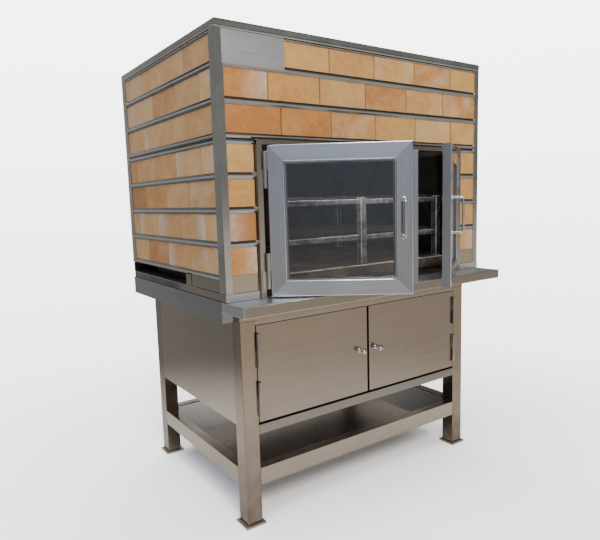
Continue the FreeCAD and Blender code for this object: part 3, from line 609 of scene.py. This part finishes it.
def brick_wall(node, face, rng, mats, tones, clays, round_to=0.0022):
    """face is 'front', 'left', 'right' or 'up': the side of every brick in the node that shows."""
    bm = bmesh.new()
    layer = bm.verts.layers.float_color.new("brick")
    out = {"front": Vector((0, -1, 0)), "left": Vector((-1, 0, 0)), "right": Vector((1, 0, 0)), "up": Vector((0, 0, 1))}[face]
    u = {"front": Vector((1, 0, 0)), "left": Vector((0, -1, 0)), "right": Vector((0, 1, 0)), "up": Vector((1, 0, 0))}[face]
    v = out.cross(u)
    groups = [g for g, tris in solids_of(node)]
    groups.sort(key=lambda g: (round(min(q.z for q in g), 3), round(min(q.x for q in g), 3), round(min(q.y for q in g), 3)))
    for g in groups:
        top = max(q.dot(out) for q in g)
        low = min(q.dot(out) for q in g)
        mid = (top + low) / 2.0
        f = [q for q in g if q.dot(out) > mid]
        b = [q for q in g if q.dot(out) <= mid]
        u0, u1 = min(q.dot(u) for q in f), max(q.dot(u) for q in f)
        v0, v1 = min(q.dot(v) for q in f), max(q.dot(v) for q in f)
        origin = u * u0 + v * v0 + out * top
        jog = rng.uniform(-0.0009, 0.0004)
        brick_solid(bm, layer, origin + out * jog, u, v, out, u1 - u0, v1 - v0, top - low,
                    min(q.dot(u) for q in b) - u0, max(q.dot(u) for q in b) - u0, rng, round_to, tones, clays)
    bmesh.ops.recalc_face_normals(bm, faces=bm.faces)
    for fc in bm.faces:
        fc.smooth = True
    mesh = bpy.data.meshes.new(node + "_v")
    bm.to_mesh(mesh)
    bm.free()
    mesh.set_sharp_from_angle(angle=math.radians(50))
    return place(node + "_v", mesh, BODY_OF[node], [node], mats)


brick_wall("bricks_front", "front", random.Random(FRONT_SEED), ["brick"], (0.52, 0.27), (0.0, 0.62))
# left wall: only the paler, cooler clay range, painted light for the cooler light on that side
brick_wall("bricks_left", "left", random.Random(LEFT_SEED), ["brick"], (0.56, 0.21), (0.62, 1.0))
brick_wall("bricks_right", "right", random.Random(71), ["brick"], (0.54, 0.24), (0.3, 1.0))
brick_wall("hearth_tiles", "up", random.Random(72), ["hearth"], (0.52, 0.27), (0.0, 1.0), 0.0028)

# ------------------------------------------------------------------ steel work


def post_corner(c):
    return abs(c.x) > BODY_W / 2.0 - 1e-4 and (c.y < OY + 1e-4 or c.y > OY + 0.998 - 1e-4)


def top_ring(node, mats):
    """Angle frame round the top: rounded outer corner, flat leg, and a rolled lip under a fine groove along its lower
    edge; the lip is lighter, a painted highlight, and the groove and the curl under the lip are darker, painted shade.
    """
    line = [(40.0, 975.0, 0), (22.0, 975.0, 0)]
    line += [(3.4 - 3.4 * math.sin(t), 971.6 + 3.4 * math.cos(t), 0) for t in (math.pi / 2 * i / 8 for i in range(9))]
    line += [(0.0, 964.0, 0), (0.0, 956.2, 2), (0.35, 955.9, 2), (1.0, 955.5, 2), (1.0, 955.0, 2), (0.55, 954.5, 1)]
    line += [(0.22, 953.8, 1), (0.05, 952.8, 1), (0.0, 951.6, 1), (0.03, 950.2, 1), (0.16, 948.8, 1), (0.40, 947.6, 1), (0.80, 946.5, 2), (1.35, 945.6, 2), (2.1, 945.1, 2)]
    line += [(3.0, 945.0, 0), (3.0, 972.0, 0), (40.0, 972.0, 0)]
    bm = bmesh.new()
    rows = []
    for d, z, m in line:
        rows.append([bm.verts.new(P(x, y, z)) for x, y in ((d, d), (1400.0 - d, d), (1400.0 - d, 998.0 - d), (d, 998.0 - d))])
    for i in range(len(line)):
        j = (i + 1) % len(line)
        for a in range(4):
            b = (a + 1) % 4
            bm.faces.new((rows[i][a], rows[i][b], rows[j][b], rows[j][a])).material_index = line[i][2]
    bmesh.ops.recalc_face_normals(bm, faces=bm.faces)
    for f in bm.faces:
        f.smooth = True
    mesh = bpy.data.meshes.new(node + "_v")
    bm.to_mesh(mesh)
    bm.free()
    mesh.set_sharp_from_angle(angle=math.radians(32))
    return place(node + "_v", mesh, BODY_OF[node], [node], mats)


def trim_bars(node, face, mats):
    """Rolled cover strips over the courses: a slightly crowned face between two rounded flanks, with a web behind where there is one."""
    out = {"front": Vector((0, -1, 0)), "left": Vector((-1, 0, 0)), "right": Vector((1, 0, 0))}[face]
    u = {"front": Vector((1, 0, 0)), "left": Vector((0, -1, 0)), "right": Vector((0, 1, 0))}[face]
    v = out.cross(u)
    flank = ((0.0, 0.0038), (0.20, 0.0034), (0.48, 0.0024), (0.74, 0.0013), (0.92, 0.0006), (1.0, 0.00036))
    crown = ((0.12, 0.00020), (0.30, 0.00007), (0.5, 0.0), (0.70, 0.00007), (0.88, 0.00020))
    bm = bmesh.new()
    for pts, tris in solids_of(node):
        top, low = max(q.dot(out) for q in pts), min(q.dot(out) for q in pts)
        u0, u1 = min(q.dot(u) for q in pts), max(q.dot(u) for q in pts)
        v0, v1 = min(q.dot(v) for q in pts), max(q.dot(v) for q in pts)
        h = v1 - v0
        a, b = 0.33 * h, 0.37 * h
        line = [(0.0, 0.005)] + [(a * t, d) for t, d in flank]
        first = len(line) - 1
        line += [(a + (h - a - b) * t, d) for t, d in crown]
        line += [(h - b * t, d) for t, d in reversed(flank)]
        last = len(line) - len(flank)
        line += [(h, 0.005)]
        if top - low > 0.01:
            line += [(h / 2 + 0.003, 0.005), (h / 2 + 0.003, top - low), (h / 2 - 0.003, top - low), (h / 2 - 0.003, 0.005)]
        rows = [[bm.verts.new(u * w + v * (v0 + z) + out * (top - d)) for z, d in line] for w in (u0, u1)]
        n = len(line)
        for i in range(n):
            j = (i + 1) % n
            f = bm.faces.new((rows[0][i], rows[1][i], rows[1][j], rows[0][j]))
            # crown face: lighter material, a painted highlight; flanks and ends: darker material, painted shade
            f.material_index = 0 if first <= i < last else 1
        for r in (list(reversed(rows[0])), rows[1]):
            bm.faces.new(r).material_index = 1
    bmesh.ops.recalc_face_normals(bm, faces=bm.faces)
    for f in bm.faces:
        f.smooth = True
    mesh = bpy.data.meshes.new(node + "_v")
    bm.to_mesh(mesh)
    bm.free()
    mesh.set_sharp_from_angle(angle=math.radians(30))
    return place(node + "_v", mesh, BODY_OF[node], [node], mats)


refine("foot_plates", 0.0016, ["foot"], 3)
refine("legs", 0.0026, ["leg"], 4)
refine("stretchers", 0.0022, ["steel_h", "steel_y"], 3, along_y)
refine("lower_shelf", 0.0004, ["shelf"])
refine("cabinet_side_panels", 0.0004, ["sheet_y"])
refine("cabinet_back_panel", 0.0004, ["sheet_h"])
# cabinet floor in the painted-light colour
refine("cabinet_floor", 0.0004, ["under"])
# front rails: the lower ones take the painted-shade copy
refine("cabinet_front_rails", 0.0010, ["sheet_h", "rail_low_painted_shade"], 2, lower_half)
refine("door_catches", 0.0012, ["plastic_and_shadow_line"])
# tray: front faces take the painted-shade copy
refine("base_tray", 0.0009, ["tray", "tray_front_painted_shade"], face_pick=front_faces)
refine("tray_bottom", 0.0004, ["sheet_h"])
# front ledge: painted light on the top and ends, painted shade on the front, light rims on the rounded edges
refine("front_ledge", 0.0034, ["ledge_front_painted_shade", "ledge_end_painted_light", "ledge_top_painted_light", "edge"], 3, None, 28.0, end_faces, False, 3)
# plinth strips: black lower rims as a painted shadow line
refine("plinth_strips", 0.0018, ["plinth", "plinth_side", "edge", "plastic_and_shadow_line"], 3, along_y, edge=shadow_line_rims)
refine("lower_panels", 0.0005, ["panel", "sheet_y"], 2, along_y)
refine("corner_posts", 0.0009, ["polish"], corner=post_corner)
top_ring("top_frame", ["polish", "lip", "flank_x_painted_shade"])
refine("roof_panel", 0.0003, ["sheet_h"])
refine("back_panel", 0.0005, ["sheet_h"])
trim_bars("trims_front", "front", ["trim_x_painted_highlight", "flank_x_painted_shade"])
trim_bars("trims_left", "left", ["trim_y_painted_highlight", "flank_y_painted_shade"])
trim_bars("trims_right", "right", ["trim_y_painted_highlight", "flank_y_painted_shade"])
refine("blank_plate", 0.0004, ["plate"])
refine("insulation", 0.0, ["wool"])
refine("chamber_liner", 0.0004, ["sooty"])
refine("chamber_ceiling", 0.0003, ["sooty"])
refine("hearth_plate", 0.0004, ["sooty"])
refine("hearth_deck", 0.0006, ["sooty"])
refine("fire_grate", 0.0012, ["iron"])
refine("ash_pan", 0.0004, ["sooty"])
refine("flue_collar", 0.0003, ["steel_h"])
refine("door_frame", 0.0012, ["steel_h", "steel_v", "jamb"], 2, upright, face_pick=jamb_sides)
# door stops in the painted-shade colour
refine("door_stops", 0.0008, ["stop"], 2)
refine("oven_hinge_posts", 0.0006, ["hinge"])
refine("base_hinge_posts", 0.0006, ["base_hinge"])
# rack posts: right-hand ones painted shade, rounded edges a painted highlight
refine("rack_posts", 0.0024, ["rack", "rack_painted_shade", "rack_painted_highlight"], 3, shaded_posts, edge=2)
# rack rails: top faces take the light copy, a painted highlight
refine("rack_rails", 0.0034, ["rack", "rack_painted_highlight"], 4, None, 28.0, top_faces)
refine("rack_grids", 0.0, ["iron"])
for side in ("left", "right"):
    # door frames: painted light on the rails, painted shade on the stiles, light rims on the rounded edges
    refine(side + "_door_frame", 0.0030, ["door_h", "door_v", "door_edge_wear_and_highlight"], 4, upright, 28.0, None, True, 2)
    refine(side + "_door_glass", 0.0005, ["glass"])
    refine(side + "_door_beads", 0.0008, ["bead"])
    refine(side + "_door_gasket", 0.0012, ["rope"])
    refine(side + "_door_knuckles", 0.0006, ["hinge"])
    refine(side + "_base_panel", 0.0006, ["base_door"])
    refine(side + "_base_knuckles", 0.0006, ["base_hinge"])
refine("left_door_lip", 0.0006, ["door_v"])

# ------------------------------------------------------------------ turned and bent pieces


def across(axis):
    a = axis.normalized()
    b = a.cross(Vector((0, 0, 1)) if abs(a.z) < 0.9 else Vector((1, 0, 0))).normalized()
    return b, a.cross(b)


def lathe(bm, origin, axis, profile, seg=36):
    """Closed turned solid: profile is (radius, height) from one end on the axis to the other."""
    a = axis.normalized()
    b, c = across(axis)
    rows = []
    for r, h in profile:
        if r < 1e-7:
            rows.append([bm.verts.new(origin + a * h)])
        else:
            rows.append([bm.verts.new(origin + a * h + (b * math.cos(t) + c * math.sin(t)) * r)
                         for t in (2.0 * math.pi * i / seg for i in range(seg))])
    for p, q in zip(rows, rows[1:]):
        for i in range(seg):
            j = (i + 1) % seg
            if len(p) == 1:
                bm.faces.new((p[0], q[i], q[j]))
            elif len(q) == 1:
                bm.faces.new((p[i], q[0], p[j]))
            else:
                bm.faces.new((p[i], q[i], q[j], p[j]))


def sweep(bm, points, radius, seg=20):
    """Round bar along a flat path of points, closed at both ends."""
    side = (points[1] - points[0]).cross(points[len(points) // 2] - points[0]).normalized()
    rows = []
    for i, q in enumerate(points):
        way = (points[min(i + 1, len(points) - 1)] - points[max(i - 1, 0)]).normalized()
        up = way.cross(side).normalized()
        rows.append([bm.verts.new(q + (side * math.cos(t) + up * math.sin(t)) * radius)
                     for t in (2.0 * math.pi * j / seg for j in range(seg))])
    for p, q in zip(rows, rows[1:]):
        for i in range(seg):
            j = (i + 1) % seg
            bm.faces.new((p[i], q[i], q[j], p[j]))
    bm.faces.new(list(reversed(rows[0])))
    bm.faces.new(rows[-1])


def finish(bm, name, body, nodes, mats, angle=40.0):
    bmesh.ops.recalc_face_normals(bm, faces=bm.faces)
    for f in bm.faces:
        f.smooth = True
    mesh = bpy.data.meshes.new(name)
    bm.to_mesh(mesh)
    bm.free()
    mesh.set_sharp_from_angle(angle=math.radians(angle))
    o = bpy.data.objects.new(name, mesh)
    bpy.context.scene.collection.objects.link(o)
    for m in mats:
        mesh.materials.append(M[m])
    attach(o, body)
    if nodes:
        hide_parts(*nodes)
    return o


def about(x, y, degrees):
    """Turn about an upright axis through (x, y), millimetres from the body's corner, into the row frame."""
    c = P(x, y, 0)
    return Matrix.Translation((c.x, c.y, 0)) @ Matrix.Rotation(degrees, 4, "Z") @ Matrix.Translation((-c.x, -c.y, 0))


def bow_handle(side):
    m = about(170, -20, -LEFT_OPEN) if side == "left" else about(1230, -20, RIGHT_OPEN)
    x = 665.5 if side == "left" else 1400.0 - 665.5
    z0, z1, bend = 217.0, 353.0, 13.0
    path = [P(x, -21.0, z0), P(x, -30.0, z0), P(x, -40.0, z0)]
    for i in range(9):
        t = math.pi / 2.0 * i / 8.0
        path.append(P(x, -62.0 + bend - bend * math.sin(t), z0 + bend - bend * math.cos(t)))
    path += [P(x, -62.0, z0 + (z1 - z0) * f) for f in (0.25, 0.4, 0.5, 0.6, 0.75)]
    for i in range(9):
        t = math.pi / 2.0 * i / 8.0
        path.append(P(x, -62.0 + bend - bend * math.cos(t), z1 - bend + bend * math.sin(t)))
    path += [P(x, -40.0, z1), P(x, -30.0, z1), P(x, -21.0, z1)]
    bm = bmesh.new()
    sweep(bm, path, 0.0049, 24)
    for z in (z0, z1):
        lathe(bm, P(x, -20.0, z), Vector((0, -1, 0)),
              [(0, 0.0), (0.0089, 0.0), (0.0089, 0.0016), (0.0084, 0.0024), (0.0072, 0.0030), (0.0058, 0.0032), (0.0050, 0.0042), (0, 0.0044)], 32)
    bm.transform(m)
    node = side + "_door_handle"
    return finish(bm, node + "_v", BODY_OF[node], [node], ["polish_fine"])


def ball_knob(side):
    x = 632.0 if side == "left" else 726.0
    prof = [(0, 0.0), (0.0119, 0.0), (0.0119, 0.0020), (0.0114, 0.0031), (0.0100, 0.0038), (0.0080, 0.0042), (0.0066, 0.0055),
            (0.0058, 0.0080), (0.0056, 0.0110), (0.0060, 0.0138), (0.0070, 0.0160)]
    c, r = 0.0270, 0.0124
    first = math.asin((c - 0.0168) / r)
    for i in range(17):
        t = -first + (math.pi / 2.0 + first) * i / 16.0
        prof.append((max(0.0, r * math.cos(t)) if i < 16 else 0.0, c + r * math.sin(t)))
    bm = bmesh.new()
    lathe(bm, P(x, 9.0, -288.0), Vector((0, -1, 0)), prof, 40)
    node = side + "_base_knob"
    return finish(bm, node + "_v", BODY_OF[node], [node], ["polish_fine"])


for side in ("left", "right"):
    bow_handle(side)
    ball_knob(side)


def screws(name, spots, axis, r, h, mats, near):
    """Row of slotless dome heads standing on a sheet."""
    bm = bmesh.new()
    for q in spots:
        lathe(bm, q, axis, [(0, -0.0004), (r, -0.0004), (r, h * 0.25), (r * 0.93, h * 0.55), (r * 0.76, h * 0.82), (r * 0.42, h * 0.97), (0, h)], 20)
    return finish(bm, name, BODY_OF[near], [], mats)


spots = []
for i in range(9):
    for z in (58.0, 925.0):
        spots.append(P(60 + 160.0 * i, 995.0, z))
for z in (230.0, 404.0, 578.0, 752.0):
    for x in (48.0, 1352.0):
        spots.append(P(x, 995.0, z))
screws("back_panel_screws", spots, Vector((0, 1, 0)), 0.0055, 0.0026, ["polish_fine"], "back_panel")
spots = [P(20 + 136.0 * i, y, 975.0) for i in range(11) for y in (20.0, 978.0)]
spots += [P(x, 20 + 136.857 * i, 975.0) for i in range(1, 7) for x in (20.0, 1380.0)]
screws("top_frame_rivets", spots, Vector((0, 0, 1)), 0.0045, 0.0020, ["polish_fine"], "top_frame")
screws("flue_flange_bolts", [P(700 + 95 * math.cos(t), 800 + 95 * math.sin(t), 978.0) for t in (math.pi / 4 * i + 0.39 for i in range(8))],
       Vector((0, 0, 1)), 0.0065, 0.0038, ["polish_fine"], "flue_collar")

# ------------------------------------------------------------------ floor, light, camera
bm = bmesh.new()
RINGS = [0.6, 1.2, 1.8, 2.4, 3.0, 3.8, 4.8, 6.0, 7.5]
last = [bm.verts.new((0, 0, 0))]
for r in RINGS:
    ring = [bm.verts.new((r * math.cos(i * math.pi / 48), r * math.sin(i * math.pi / 48), 0)) for i in range(96)]
    for i in range(96):
        if len(last) == 1:
            bm.faces.new((last[0], ring[i], ring[(i + 1) % 96]))
        else:
            bm.faces.new((last[i], ring[i], ring[(i + 1) % 96], last[(i + 1) % 96]))
    last = ring
floor = bpy.data.meshes.new("floor")
bm.to_mesh(floor)
bm.free()
fo = bpy.data.objects.new("floor", floor)
fo.location.z = -0.0005
bpy.context.scene.collection.objects.link(fo)
k = Nodes("floor")
f = k.noise(k.mapping((1.5, 1.5, 1.5)), 1.0, 4.0, 0.6)
lit = k.ramp(f, [(0.3, (0.84, 0.83, 0.815)), (0.7, (0.88, 0.87, 0.855))])
k.link(k.mix(k.n("ShaderNodeLightPath").outputs["Is Camera Ray"], lit, k.mix(1.0, lit, (2.3, 2.32, 2.36), "MULTIPLY")), k.b.inputs["Base Color"])
k.b.inputs["Roughness"].default_value = 0.85
far = k.n("ShaderNodeVectorMath", operation="LENGTH")
k.link(k.co, far.inputs[0])
fade = k.n("ShaderNodeMapRange", interpolation_type="SMOOTHSTEP")
fade.inputs["From Min"].default_value = 0.95
fade.inputs["From Max"].default_value = 2.5
fade.inputs["To Min"].default_value = 1.0
fade.inputs["To Max"].default_value = 0.0
k.link(far.outputs["Value"], fade.inputs["Value"])
k.link(fade.outputs["Result"], k.b.inputs["Alpha"])
floor.materials.append(k.mat)

world = bpy.data.worlds.new("studio")
bpy.context.scene.world = world
world.use_nodes = True
wt = world.node_tree
wt.nodes.clear()


def wnode(kind, **kw):
    node = wt.nodes.new(kind)
    for k, v in kw.items():
        setattr(node, k, v)
    return node


def wramp(fac, stops):
    r = wnode("ShaderNodeValToRGB")
    e = r.color_ramp.elements
    while len(e) < len(stops):
        e.new(0.5)
    for i, (p, c) in enumerate(stops):
        e[i].position = p
        e[i].color = (c[0], c[1], c[2], 1.0)
    wt.links.new(fac, r.inputs["Fac"])
    return r.outputs["Color"]


def wspan(value, flo, fhi, lo=0.0, hi=1.0):
    m = wnode("ShaderNodeMapRange")
    for name, v in (("From Min", flo), ("From Max", fhi), ("To Min", lo), ("To Max", hi)):
        m.inputs[name].default_value = v
    wt.links.new(value, m.inputs["Value"])
    return m.outputs["Result"]


def wmix(fac, a, b):
    m = wnode("ShaderNodeMix", data_type="RGBA")
    wt.links.new(fac, m.inputs[0])
    wt.links.new(a, m.inputs[6])
    wt.links.new(b, m.inputs[7])
    return m.outputs[2]


def grey(v, t=(1.0, 1.0, 1.0)):
    return (v * t[0], v * t[1], v * t[2])


BLUE, COOL, WARM, OLIVE = (0.90, 1.0, 1.20), (0.965, 1.0, 1.065), (1.10, 1.0, 0.88), (1.0, 1.0, 0.82)
tc = wnode("ShaderNodeTexCoord")
sp = wnode("ShaderNodeSeparateXYZ")
wt.links.new(tc.outputs["Generated"], sp.inputs["Vector"])
at2 = wnode("ShaderNodeMath", operation="ARCTAN2")
wt.links.new(sp.outputs["Y"], at2.inputs[0])
wt.links.new(sp.outputs["X"], at2.inputs[1])
turn = wspan(at2.outputs["Value"], -math.pi, math.pi)
# plain soft studio: a large soft box at the front left, another at the back right, darker between them, a pale floor below
LOW = [(-180, grey(0.16)), (-125, grey(0.60)), (-58, grey(0.70, WARM)), (0, grey(0.42)), (75, grey(0.58)), (112, grey(0.25)), (180, grey(0.16))]
UPPER = [(-180, grey(0.20, COOL)), (-150, grey(0.30, COOL)), (-124, grey(0.72, BLUE)), (-96, grey(0.28)), (-50, grey(0.28)), (0, grey(0.14)),
         (40, grey(0.10)), (65, grey(1.2)), (90, grey(0.62)), (112, grey(0.28)), (150, grey(0.16)), (180, grey(0.20, COOL))]


def hall_band(stops):
    return wramp(turn, [((a + 180.0) / 360.0, c) for a, c in stops])


roofc = wramp(turn, [(0.0, (0.10, 0.10, 0.105)), (0.16, (0.22, 0.22, 0.23)), (0.3, (0.10, 0.10, 0.10)), (0.5, (0.06, 0.06, 0.058)), (0.75, (0.06, 0.06, 0.06)), (1.0, (0.10, 0.10, 0.105))])
glow = wramp(turn, [(0.0, (2.4, 2.4, 2.42)), (1.0, (2.4, 2.4, 2.42))])
hall = wmix(wspan(sp.outputs["Z"], -0.10, 0.02), hall_band(LOW), hall_band(UPPER))
hall = wmix(wspan(sp.outputs["Z"], 0.32, 0.42), hall, roofc)
hall = wmix(wspan(sp.outputs["Z"], 0.83, 0.93), hall, glow)
room = wnode("ShaderNodeBackground")
wt.links.new(hall, room.inputs["Color"])
room.inputs["Strength"].default_value = 1.0
seen = wnode("ShaderNodeBackground")
wt.links.new(wramp(wspan(sp.outputs["Z"], -0.55, 0.45), [(0.0, (0.50, 0.50, 0.50)), (0.25, (0.56, 0.56, 0.56)), (0.50, (0.72, 0.72, 0.72)), (0.62, (0.82, 0.82, 0.82)), (0.80, (0.95, 0.95, 0.95)), (1.0, (1.0, 1.0, 1.0))]), seen.inputs["Color"])
seen.inputs["Strength"].default_value = 6.0
mixw = wnode("ShaderNodeMixShader")
lp = wnode("ShaderNodeLightPath")
wo = wnode("ShaderNodeOutputWorld")
wt.links.new(lp.outputs["Is Camera Ray"], mixw.inputs["Fac"])
wt.links.new(room.outputs["Background"], mixw.inputs[1])
wt.links.new(seen.outputs["Background"], mixw.inputs[2])
wt.links.new(mixw.outputs["Shader"], wo.inputs["Surface"])


def area(name, at, to, size, size_y, power, colour):
    d = bpy.data.lights.new(name, "AREA")
    d.shape = "RECTANGLE"
    d.size, d.size_y = size, size_y
    d.energy = power
    d.color = colour
    o = bpy.data.objects.new(name, d)
    o.location = at
    o.rotation_euler = (Vector(to) - Vector(at)).to_track_quat("-Z", "Y").to_euler()
    bpy.context.scene.collection.objects.link(o)
    return o


area("key", (-2.1, -5.0, 4.9), (0, 0, 1.3), 2.6, 2.0, 285, (1.0, 0.97, 0.92))
area("back", (0.3, 2.9, 4.8), (0.2, 1.2, 0), 4.0, 2.4, 130, (1.0, 1.0, 1.0))
area("left", (-4.2, -1.6, 4.4), (-0.8, 0.0, 1.2), 2.0, 2.0, 59, (0.82, 1.0, 1.36))
area("right", (4.4, -2.0, 4.0), (0.8, 0, 1.0), 2.4, 2.0, 42, (1.0, 0.99, 0.97)).visible_glossy = False
# soft fill under the doorway header, so that the rack inside is not lost in the dark
fill = area("chamber_fill", P(520, 22, 556), P(540, 62, 150), 0.64, 0.03, 4.2, (1.0, 0.97, 0.92))
deep = area("chamber_back", P(640, 260, 690), P(880, 882, 380), 0.7, 0.1, 3.4, (1.0, 0.98, 0.95))
for o in (fill, deep):
    o.visible_camera = False
    o.visible_glossy = False

cam = bpy.data.cameras.new("camera")
cam.sensor_fit = "HORIZONTAL"
cam.sensor_width = 36.0
cam.lens = 32.961
cam.clip_start = 0.05
cam.clip_end = 60.0
co = bpy.data.objects.new("camera", cam)
right = Vector((0.8188755, -0.5732924, -0.0279081))
down = Vector((-0.0953354, -0.0879052, -0.9915563))
ahead = Vector((0.5659984, 0.8146217, -0.1266384))
at = P(-880.83, -1734.607, 359.652)
co.matrix_world = Matrix((
    (right.x, -down.x, -ahead.x, at.x),
    (right.y, -down.y, -ahead.y, at.y),
    (right.z, -down.z, -ahead.z, at.z),
    (0, 0, 0, 1)))
bpy.context.scene.collection.objects.link(co)
bpy.context.scene.camera = co

bpy.context.view_layer.update()
